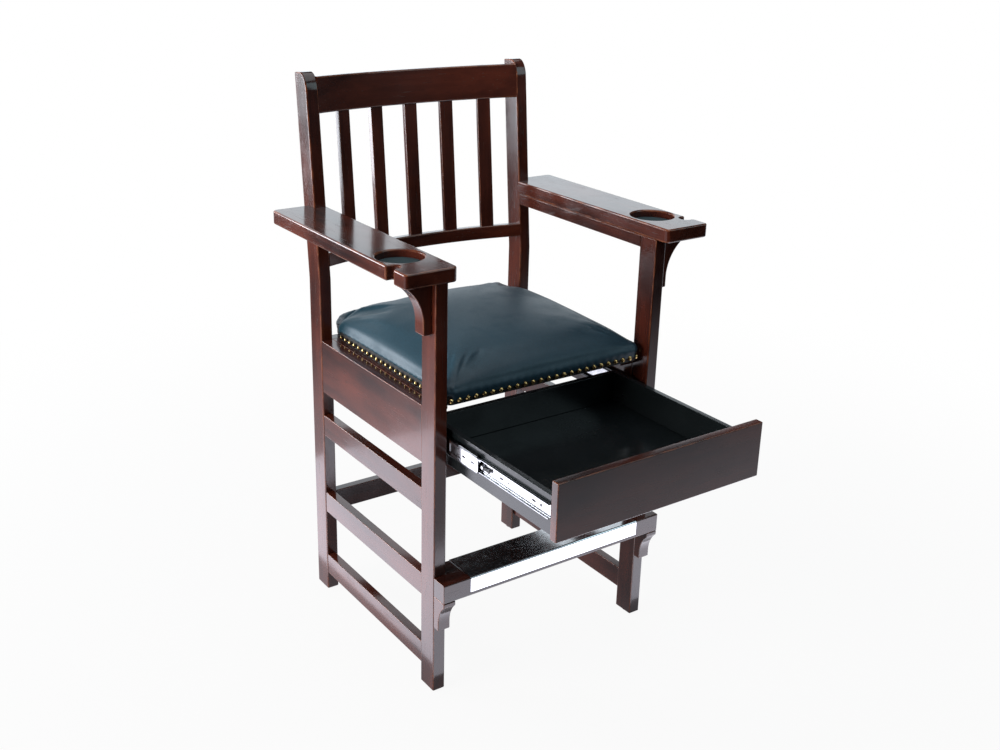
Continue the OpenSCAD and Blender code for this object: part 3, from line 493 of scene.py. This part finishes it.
def lengthways(axis):
    return lambda way, middle: abs(way[axis]) > 0.7


def ends(way, middle):
    return abs(way.z) < 0.7


def clear_of_post(way, middle):
    """Edges of an arm board that don't lie in its cut-out round the post."""
    return middle.y < post_front - 2 * MM or abs(middle.x) > leg_outside + 1 * MM


# Nodes, the way of their grain, the width in millimetres to which edges are eased, and which edges.
boards = [
    (sides("front_leg"), Z, 1.2, ends),
    (sides("rear_post"), Z, 3.0, every),
    (sides("side_apron"), Y, 1.2, every),
    (sides("upper_stretcher", "middle_stretcher", "lower_stretcher"), Y, 1.4, every),
    (["back_apron", "back_stretcher"], X, 1.6, lengthways(X)),
    (sides("seat_cleat"), Y, 1.0, lengthways(Y)),
    (["crest_rail"], X, 3.5, lengthways(X)),
    (["lower_back_rail"], X, 3.0, lengthways(X)),
    ([f"back_slat_{k}" for k in range(1, 6)], Z, 1.6, lengthways(Z)),
    (sides("arm_board"), Y, 3.6, clear_of_post),
    (sides("arm_rail"), Y, 1.6, lengthways(Y)),
    (sides("arm_bracket"), Z, 2.2, every),
    (sides("footrest_corbel"), Z, 2.0, every),
    (["footrest_board"], X, 1.4, every),
    (["drawer_front"], X, 2.0, every),
    (sides("drawer_side"), Y, 1.2, every),
    (["drawer_back"], X, 1.2, lengthways(X)),
    (["drawer_bottom"], Y, 0.5, every),
    (["seat_board"], X, 1.5, every),
    (sides("cup_pad"), X, 0.5, every),
    (["floor_glides"], X, 0.6, every),
]
seed = 11
for nodes, along, ease, chosen in boards:
    for node in nodes:
        seed += 1
        eased_board(node, along, ease, chosen, seed)

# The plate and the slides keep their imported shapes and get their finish.
for node in ["footrest_plate"] + sides("slide_outer", "slide_middle", "slide_inner", "ball_cage_outer",
                                       "ball_cage_inner", "slide_latch"):
    kept = frame["nodes"][node]
    kept.data.materials.clear()
    kept.data.materials.append(finishes[slot_of[node]])


# Separate solids within a node

def islands(node):
    """The separate solids of a node, each as an array of its points."""
    mesh = bmesh.new()
    mesh.from_mesh(frame["nodes"][node].data)
    bmesh.ops.remove_doubles(mesh, verts=mesh.verts, dist=WELD)
    mesh.verts.ensure_lookup_table()
    left, found = set(mesh.verts), []
    while left:
        seeds, group = [left.pop()], []
        while seeds:
            vert = seeds.pop()
            group.append(vert.co[:])
            for edge in vert.link_edges:
                other = edge.other_vert(vert)
                if other in left:
                    left.remove(other)
                    seeds.append(other)
        found.append(np.array(group))
    mesh.free()
    return sorted(found, key=lambda group: tuple(np.round(group.mean(0), 4)))


def thin_way(points, outward_from):
    """The direction in which a group of points is thinnest, turned away from a place."""
    centred = points - points.mean(0)
    way = np.linalg.svd(centred, full_matrices=False)[2][2]
    return way if way @ (points.mean(0) - outward_from) > 0 else -way


# Padded seat

seat_low, seat_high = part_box("seat_cushion")
board_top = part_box("seat_board")[1].z
nails = []
for group in islands("seat_nails"):
    level = group.mean(0)
    facing = thin_way(group, np.array([0.0, (seat_low.y + seat_high.y) / 2, level[2]]))
    reach = group @ facing
    base = level + facing * (reach.min() - level @ facing)
    nails.append({"base": base, "facing": facing, "height": np.ptp(reach), "radius": np.ptp(group[:, 2]) / 2})
nail_line = nails[0]["base"][2]
NAIL_PITCH = 19.5 * MM
NAIL_DENT = 0.5 * MM            # how far the hide is pressed in beside a nail
PUCKER = 0.45 * MM              # how far it swells between two nails
CREASE_DEPTH = 2.6 * MM         # of the crease beside each notch for a post
RIDGE_HEIGHT = 1.2 * MM         # of the fold in front of that crease
CORNER_DROOP = 0.42             # share of its height that the hide loses at a front corner
EVEN_STEP = 5 * MM              # size of the faces that the foam moves
DRAWN_IN = 2.5 * MM             # how far the hide is drawn in before the foam fills it
MOST_SWELL = 5 * MM             # how far the foam may push it at most
FOAM_TICKS = 20


def even_form(node, name, step):
    """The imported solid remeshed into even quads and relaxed."""
    piece = piece_from(merged(node), name)
    remesh = piece.modifiers.new("even_faces", "REMESH")
    remesh.mode, remesh.voxel_size = "VOXEL", step
    plain_mesh(piece)
    relax = piece.modifiers.new("relax", "SMOOTH")
    relax.factor, relax.iterations = 0.5, 6
    return plain_mesh(piece)


def fill_with_foam(piece, most):
    """Blows the hide up a little over its foam, holding it along the nails and underneath."""
    rest = points_of(piece.data)
    held = piece.vertex_groups.new(name="held")
    for index in np.nonzero(rest[:, 2] < board_top + 2 * MM)[0]:
        held.add([int(index)], 1.0, "REPLACE")
    hide = piece.modifiers.new("foam", "CLOTH").settings
    hide.quality = 6
    hide.mass = 0.3
    hide.tension_stiffness = hide.compression_stiffness = 18
    hide.shear_stiffness = 6
    hide.bending_stiffness = 0.6
    hide.vertex_group_mass = "held"
    hide.use_pressure = True
    hide.uniform_pressure_force = 4.0
    hide.effector_weights.gravity = 0
    for tick in range(1, FOAM_TICKS + 1):
        scene.frame_set(tick)
    plain_mesh(piece)
    piece.vertex_groups.clear()
    moved = points_of(piece.data) - rest
    length = np.linalg.norm(moved, axis=1, keepdims=True)
    moved *= np.minimum(1.0, most / np.maximum(length, 1e-9))
    set_points(piece.data, rest + moved)
    scene.frame_set(1)


def looseness(points, start, over):
    """How free the hide is: 0 up to a start above the board, and 1 from that much higher."""
    return np.clip((points[:, 2] - board_top - start) / over, 0, 1)


def hump(distance, width):
    """A soft rise of 1 that fades over a width."""
    return np.exp(-(distance / width) ** 2)


def crease_and_droop(piece):
    """Draws the hide into a crease beside each notch for a post, and down to the nails at the front corners."""
    mesh = piece.data
    points, outward = points_of(mesh), normals_of(mesh)
    loose = looseness(points, 4 * MM, 20 * MM)
    off_middle = np.clip((abs(points[:, 0]) - 100 * MM) / (130 * MM), 0, 1)
    strength = off_middle * np.clip(outward[:, 2], 0, 1) * loose
    behind_crease = points[:, 1] - (post_front - 1 * MM)
    valley = CREASE_DEPTH * hump(behind_crease, 3.5 * MM)
    ridge = RIDGE_HEIGHT * hump(behind_crease + 9 * MM, 5.5 * MM)
    points += outward * (strength * (ridge - valley))[:, None]
    for side in (-1, 1):
        corner = np.array([side * seat_high.x, seat_low.y])
        away = np.linalg.norm(points[:, :2] - corner, axis=1)
        points[:, 2] -= CORNER_DROOP * (points[:, 2] - board_top - 4 * MM) * loose * hump(away, 52 * MM)
    set_points(mesh, points)


def tuck_round_nails(piece):
    """Presses the hide in under each nail and lets it pucker softly between them."""
    mesh = piece.data
    points, outward = points_of(mesh), normals_of(mesh)
    bases = np.array([nail["base"] for nail in nails])
    above = points[:, 2] - nail_line
    near = (above > -12 * MM) & (above < 30 * MM) & (abs(outward[:, 2]) < 0.8)
    for index in np.nonzero(near)[0]:
        apart = bases - points[index]
        level = np.hypot(apart[:, 0], apart[:, 1])
        nearest = level.argmin()
        if level[nearest] > 16 * MM:
            continue
        dent = NAIL_DENT * hump(np.linalg.norm(apart[nearest]), 6 * MM)
        ripple = PUCKER * math.cos(2 * math.pi * level[nearest] / NAIL_PITCH)
        points[index] -= outward[index] * (dent + ripple * hump(above[index] - 9 * MM, 9 * MM))
    set_points(mesh, points)


def padded_seat():
    """The cushion: drawn in a little, blown up by its foam, then creased and tucked under its nails."""
    piece = even_form("seat_cushion", "seat_cushion_leather", EVEN_STEP)
    points = points_of(piece.data)
    inwards = DRAWN_IN * looseness(points, 2 * MM, 25 * MM)[:, None]
    set_points(piece.data, points - normals_of(piece.data) * inwards)
    fill_with_foam(piece, MOST_SWELL)
    finer = piece.modifiers.new("finer", "SUBSURF")
    finer.levels = finer.render_levels = 1
    plain_mesh(piece)
    crease_and_droop(piece)
    tuck_round_nails(piece)
    for polygon in piece.data.polygons:
        polygon.use_smooth = True
    settle(piece, "seat_cushion")
    return piece


padded_seat()


# Nails and screws

def lathe(name, profile, around):
    """A closed turned solid from (radius, height) pairs that start and end on its axis."""
    mesh = bmesh.new()
    rings = []
    for radius, height in profile:
        turns = np.linspace(0, 2 * math.pi, around, endpoint=False) if radius else [0.0]
        rings.append([mesh.verts.new((radius * math.cos(t), radius * math.sin(t), height)) for t in turns])
    for low, high in zip(rings, rings[1:]):
        for k in range(around):
            j = (k + 1) % around
            corners = [low[k % len(low)], low[j % len(low)], high[j % len(high)], high[k % len(high)]]
            mesh.faces.new(list(dict.fromkeys(corners)))
    bmesh.ops.recalc_face_normals(mesh, faces=mesh.faces)
    for face in mesh.faces:
        face.smooth = True
    return piece_from(mesh, name)


def nail_head(radius, height):
    """Domed head with a thin turned-down rim."""
    dome = (radius ** 2 + height ** 2) / (2 * height)
    widest = math.asin(min(1.0, radius * 0.985 / dome))
    profile = [(0, 0), (radius * 0.97, 0), (radius, 0.12 * height)]
    for k in range(6):
        slope = widest * (1 - k / 6)
        profile.append((dome * math.sin(slope), max(height - dome + dome * math.cos(slope), 0.16 * height)))
    return lathe("nail_pattern", profile + [(0, height)], 16)


def cross_head_screw(head_radius, head_height, shank_radius, shank_length):
    """Pan head with a cross recess on a shank that points away from it; its top lies at zero."""
    tip = -head_height - shank_length
    profile = [(0, tip), (shank_radius * 0.4, tip), (shank_radius, tip + 2 * shank_radius),
               (shank_radius, -head_height), (head_radius, -head_height), (head_radius, -0.55 * head_height),
               (head_radius * 0.86, -0.2 * head_height), (head_radius * 0.6, -0.04 * head_height), (0, 0)]
    screw = lathe("screw_pattern", profile, 20)
    cutter = bmesh.new()
    for turn in (0.0, math.pi / 2):
        arm = bmesh.ops.create_cube(cutter, size=1.0)["verts"]
        bmesh.ops.scale(cutter, verts=arm, vec=(head_radius * 1.15, head_radius * 0.22, head_height * 1.1))
        bmesh.ops.rotate(cutter, verts=arm, matrix=Matrix.Rotation(turn, 3, "Z"))
    tool = piece_from(cutter, "recess")
    cut = screw.modifiers.new("recess", "BOOLEAN")
    cut.operation, cut.object, cut.solver, cut.use_self = "DIFFERENCE", tool, "EXACT", True
    plain_mesh(screw)
    bpy.data.objects.remove(tool)
    return screw


def placing_tree(name, pattern, finish):
    """Geometry nodes that set a copy of a pattern on every point, along its facing, turned at random."""
    tree = bpy.data.node_groups.new(name, "GeometryNodeTree")
    sockets = [("Places", "Geometry"), ("Size Variation", "Float"), ("Most Tilt", "Float"), ("Most Turn", "Float"),
               ("Seed", "Int")]
    for label, kind in sockets:
        tree.interface.new_socket(label, in_out="INPUT", socket_type="NodeSocket" + kind)
    tree.interface.new_socket("Pieces", in_out="OUTPUT", socket_type="NodeSocketGeometry")
    given, out = add(tree, "NodeGroupInput").outputs, add(tree, "NodeGroupOutput")
    info = add(tree, "GeometryNodeObjectInfo", {"Object": pattern})
    facing = add(tree, "GeometryNodeInputNamedAttribute", {"Name": "facing"}, data_type="FLOAT_VECTOR")
    turned = add(tree, "FunctionNodeAlignRotationToVector", {"Vector": facing.outputs["Attribute"]}, axis="Z")
    lean = given["Most Tilt"]
    lean_back = maths(tree, "MULTIPLY", lean, -1.0)
    least = add(tree, "ShaderNodeCombineXYZ", {0: lean_back, 1: lean_back}).outputs[0]
    most = add(tree, "ShaderNodeCombineXYZ", {0: lean, 1: lean, 2: given["Most Turn"]}).outputs[0]
    tilt = add(tree, "FunctionNodeRandomValue", {0: least, 1: most, "Seed": given["Seed"]},
               data_type="FLOAT_VECTOR")
    local = add(tree, "FunctionNodeRotateRotation", {"Rotation": turned.outputs[0], "Rotate By": tilt.outputs[0]},
                rotation_space="LOCAL")
    smallest = maths(tree, "SUBTRACT", 1.0, given["Size Variation"])
    size = add(tree, "FunctionNodeRandomValue", {2: smallest, 3: 1.0, "Seed": given["Seed"]}, data_type="FLOAT")
    placed = add(tree, "GeometryNodeInstanceOnPoints", {"Points": given["Places"],
                 "Instance": info.outputs["Geometry"], "Rotation": local.outputs[0], "Scale": size.outputs[1]})
    real = add(tree, "GeometryNodeRealizeInstances", {0: placed.outputs[0]})
    dressed = add(tree, "GeometryNodeSetMaterial", {"Geometry": real.outputs[0], "Material": finish})
    tree.links.new(dressed.outputs[0], out.inputs[0])
    return tree


def place_hardware(node, pattern, places, settings):
    """Sets a pattern at every (place, facing) and makes the result one plain piece."""
    data = bpy.data.meshes.new(node + "_set")
    data.from_pydata([tuple(place) for place, _ in places], [], [])
    ways = data.attributes.new("facing", "FLOAT_VECTOR", "POINT")
    ways.data.foreach_set("vector", np.array([way for _, way in places], np.float32).ravel())
    piece = new_piece(node + "_set", data)
    tree = placing_tree(node + "_placing", pattern, finishes[slot_of[node]])
    maker = piece.modifiers.new("placing", "NODES")
    maker.node_group = tree
    sockets = {item.name: item.identifier for item in tree.interface.items_tree if item.in_out == "INPUT"}
    for name, value in settings.items():
        maker[sockets[name]] = value
    plain_mesh(piece)
    bpy.data.objects.remove(pattern)
    if "facing" in piece.data.attributes:
        piece.data.attributes.remove(piece.data.attributes["facing"])
    return settle(piece, node)


def screw_places(node, facing):
    """Top middle of each screw of a node, and the way its head looks."""
    found = []
    for group in islands(node):
        middle = (group.min(0) + group.max(0)) / 2
        way = np.array(facing(middle), float)
        found.append((middle + way * ((group @ way).max() - middle @ way), way))
    return found


def towards_middle(place):
    return (-math.copysign(1, place[0]), 0, 0)


def from_middle(place):
    return (math.copysign(1, place[0]), 0, 0)


def downwards(place):
    return (0, 0, -1)


place_hardware("seat_nails", nail_head(nails[0]["radius"], nails[0]["height"]),
               [(nail["base"], nail["facing"]) for nail in nails],
               {"Size Variation": 0.02, "Most Tilt": 0.05, "Most Turn": FULL_TURN, "Seed": 5})

# Millimetres: head radius and height, shank radius and length.
slide_screw, seat_screw = (3.5, 1.2, 1.75, 10.7), (4.5, 2.5, 2.25, 31.5)
for node, facing, sizes in (("slide_screws_case", towards_middle, slide_screw),
                            ("slide_screws_drawer", from_middle, slide_screw),
                            ("seat_screws", downwards, seat_screw)):
    place_hardware(node, cross_head_screw(*(size * MM for size in sizes)), screw_places(node, facing),
                   {"Size Variation": 0.0, "Most Tilt": 0.0, "Most Turn": FULL_TURN, "Seed": 9})


# Studio

def aim_camera():
    """The camera stands where the photograph was taken from, measured from the front of the legs."""
    yaw, pitch, roll = 0.6105, 0.3542, 0.0231       # radians
    place = Vector((-1.38036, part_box("front_leg_right")[0].y - 1.74384, 1.52718))
    forward = Vector((math.sin(yaw) * math.cos(pitch), math.cos(yaw) * math.cos(pitch), -math.sin(pitch)))
    level = Vector((math.cos(yaw), -math.sin(yaw), 0))
    up = level.cross(forward)
    side = math.cos(roll) * level + math.sin(roll) * up
    top = -math.sin(roll) * level + math.cos(roll) * up
    data = bpy.data.cameras.new("camera")
    data.sensor_width, data.lens = 36.0, 42.962
    data.shift_x, data.shift_y = 0.01138, -0.02949
    data.clip_start, data.clip_end = 0.05, 100.0
    camera = bpy.data.objects.new("camera", data)
    scene.collection.objects.link(camera)
    camera.matrix_world = Matrix([(side[k], top[k], -forward[k], place[k]) for k in range(3)] + [(0, 0, 0, 1)])
    scene.camera = camera


def white_world():
    """A dim grey room that looks white behind the chair."""
    world = bpy.data.worlds.new("studio")
    scene.world = world
    world.use_nodes = True
    tree = world.node_tree
    path = add(tree, "ShaderNodeLightPath").outputs
    seen = maths(tree, "MAXIMUM", path["Is Camera Ray"], path["Is Transmission Ray"])
    tree.links.new(mix_colour(tree, seen, (0.06, 0.063, 0.07, 1), (1, 1, 1, 1)),
                   tree.nodes["Background"].inputs["Color"])


def pale_floor():
    """A sweep that looks white with the chair's faint shadow; mirrored, it ends in front, dims far behind and has a
    painted shadow near the chair.
    """
    made, tree, surface = material("pale_floor")
    for socket, value in (("Base Color", (0.5, 0.5, 0.5, 1)), ("Roughness", 0.9), ("Specular IOR Level", 0.0)):
        surface.inputs[socket].default_value = value
    path = add(tree, "ShaderNodeLightPath").outputs
    place = object_place(tree)
    depth = add(tree, "ShaderNodeSeparateXYZ", {0: place}).outputs["Y"]
    far = add(tree, "ShaderNodeVectorMath", {0: place}, operation="LENGTH").outputs["Value"]
    lit = maths(tree, "MULTIPLY", spread(tree, depth, -2.0, -1.0), spread(tree, depth, 0.9, 2.2, 1.0, 0.15))
    # Painted shadow: in reflections the floor is darker close to the chair, standing in for the chair's own shadow.
    lit = maths(tree, "MULTIPLY", lit, spread(tree, far, 0.15, 0.5, 0.35, 1.0))
    mirrored = mix_colour(tree, lit, (0.0, 0.0, 0.0, 1), (0.97, 0.96, 1.06, 1))
    colour = mix_colour(tree, path["Is Glossy Ray"], (1, 1, 1, 1), mirrored)
    glow = add(tree, "ShaderNodeEmission", {"Color": colour, "Strength": 1.0})
    seen = maths(tree, "MULTIPLY", path["Is Camera Ray"], spread(tree, far, 0.6, 2.6, 0.93, 1.0))
    share = maths(tree, "MAXIMUM", seen, path["Is Glossy Ray"])
    both = add(tree, "ShaderNodeMixShader", {0: share, 1: surface.outputs[0], 2: glow.outputs[0]})
    tree.links.new(both.outputs[0], tree.nodes["Material Output"].inputs["Surface"])
    reach = 14.0
    mesh = bpy.data.meshes.new("floor")
    mesh.from_pydata([(-reach, -reach, 0), (reach, -reach, 0), (reach, reach, 0), (-reach, reach, 0)], [],
                     [(0, 1, 2, 3)])
    mesh.materials.append(made)
    floor = new_piece("floor", mesh)


def soft_lamp(name, place, target, size, radiance, tint):
    """A rectangular soft lamp that shines at a target with the given brightness of its face."""
    data = bpy.data.lights.new(name, "AREA")
    data.shape, data.size, data.size_y = "RECTANGLE", size[0], size[1]
    data.energy = radiance * math.pi * size[0] * size[1]
    data.color = tint
    lamp = bpy.data.objects.new(name, data)
    scene.collection.objects.link(lamp)
    lamp.location = place
    lamp.rotation_euler = (Vector(target) - Vector(place)).to_track_quat("-Z", "Y").to_euler()
    lamp.visible_camera = False
    return lamp


def set_lamps():
    """A warm key from the left, cool light from above, behind and in front, and bright floor to be mirrored."""
    # Name, place, what it shines at, width and height, brightness of its face, and tint.
    lamps = {name: soft_lamp(name, *rest) for name, *rest in (
        ("key", (-3.0, 0.2, 1.6), (-0.3, 0.1, 1.15), (1.8, 1.6), 3.8, (1.0, 0.94, 0.88)),
        ("overhead", (0.3, -0.1, 3.0), (0.0, 0.0, 0.4), (3.0, 1.8), 1.9, (0.93, 0.97, 1.0)),
        ("backdrop", (0.7, 3.6, 1.75), (0.7, 0, 1.75), (8.0, 2.5), 1.55, (0.86, 0.94, 1.0)),
        ("side_strip", (-2.3, 2.4, 0.9), (0, 0, 0.8), (1.5, 1.1), 16.0, (0.9, 0.93, 1.0)),
        ("front_fill", (1.8, -2.2, 2.3), (0, 0, 0.8), (1.6, 1.6), 2.0, (0.7, 0.93, 1.0)),
        ("lit_floor_beside", (-0.78, 0.45, 0.004), (-0.78, 0.45, 2.0), (0.9, 1.1), 2.4, (0.88, 0.88, 1.0)),
        ("lit_floor_before", (0.2, -0.38, 0.004), (0.2, -0.38, 2.0), (1.3, 0.44), 2.8, (0.88, 0.88, 1.0)),
    )}
    lamps["key"].data.spread = math.radians(75)
    lamps["key"].visible_glossy = False
    for name in ("lit_floor_beside", "lit_floor_before"):
        lamps[name].visible_diffuse = False


aim_camera()
white_world()
pale_floor()
set_lamps()
scene.view_settings.view_transform = "Standard"
